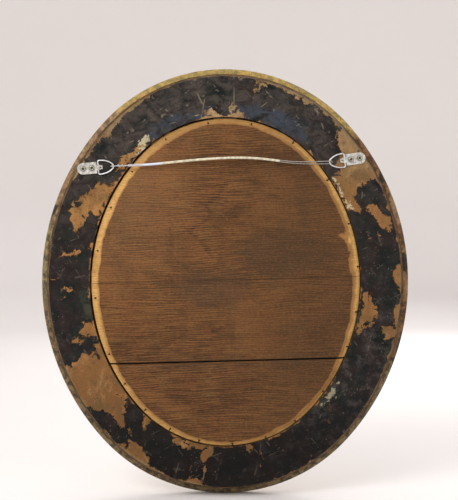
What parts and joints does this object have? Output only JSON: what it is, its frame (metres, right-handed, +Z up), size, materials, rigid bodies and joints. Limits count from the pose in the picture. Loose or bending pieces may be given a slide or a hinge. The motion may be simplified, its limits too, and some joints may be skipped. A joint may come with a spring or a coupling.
{
  "type": "oval mirror",
  "caption": "Oval wall mirror with a moulded gilt frame, black-painted back, boarded backing and a hanging wire between strap hangers.",
  "frame": {"origin": "middle of the back face, where the frame's width and height cross", "axes": "+Z up as the mirror hangs, +Y out of the back, so the mirror plate faces -Y; +X is the left side seen from behind"},
  "size_m": [0.5652, 0.056, 0.654],
  "materials": {
    "black_paint": "old black paint flaking off bare pine",
    "gilt": "worn dull gilding on moulded wood",
    "mirror_glass": "silvered plate",
    "pine": "bare sawn pine",
    "board_wood": "weathered brown softwood, bevelled edge paler",
    "nail_iron": "dark rusted iron",
    "screw_steel": "zinc-plated steel",
    "zinc_plate": "bright zinc plate",
    "ring_steel": "bright zinc plate",
    "wire_steel": "bare steel wire",
    "cream_sleeve": "cream plastic sleeve"
  },
  "bodies": {
    "mirror": {"frame_back_upper_left": "black_paint", "frame_back_upper_right": "black_paint", "frame_back_lower_right": "black_paint", "frame_back_lower_left": "black_paint", "frame_front_left": "gilt", "frame_front_top": "gilt", "frame_front_right": "gilt", "frame_front_bottom": "gilt", "mirror_plate": "mirror_glass", "plate_block_left": "pine", "plate_block_upper_left": "pine", "plate_block_top": "pine", "plate_block_upper_right": "pine", "plate_block_right": "pine", "plate_block_lower_right": "pine", "plate_block_bottom": "pine", "plate_block_lower_left": "pine", "backboard_top": "board_wood", "backboard_middle": "board_wood", "backboard_bottom": "board_wood", "backboard_nails": "nail_iron", "left_hanger_screw_inner": "screw_steel", "left_hanger_screw_outer": "screw_steel", "right_hanger_screw_inner": "screw_steel", "right_hanger_screw_outer": "screw_steel", "left_hanger_strap": "zinc_plate", "right_hanger_strap": "zinc_plate"},
    "left_hanger_ring": {"left_ring": "ring_steel"},
    "right_hanger_ring": {"right_ring": "ring_steel"},
    "wire": {"hanging_wire_left": "wire_steel", "hanging_wire_sleeve": "cream_sleeve", "hanging_wire_right": "wire_steel"}
  },
  "joints": [
    {"name": "left_ring_swing", "type": "hinge", "parent": "mirror", "child": "left_hanger_ring", "pos_m": [0.1919, 0.00203, 0.1733], "axis": [-0.0872, 0, -0.9962], "range_deg": [0, 15]},
    {"name": "right_ring_swing", "type": "hinge", "parent": "mirror", "child": "right_hanger_ring", "pos_m": [-0.1806, 0.00203, 0.1844], "axis": [0.1392, 0, 0.9903], "range_deg": [0, 15]},
    {"name": "wire_lift", "type": "slide", "parent": "mirror", "child": "wire", "axis": [0, 1, 0], "range_m": [0, 0.00583]}
  ],
  "couplings": [
    {"joint": "left_ring_swing", "follows": "wire_lift", "rad_per_m": 44.84},
    {"joint": "right_ring_swing", "follows": "wire_lift", "rad_per_m": 44.84}
  ]
}
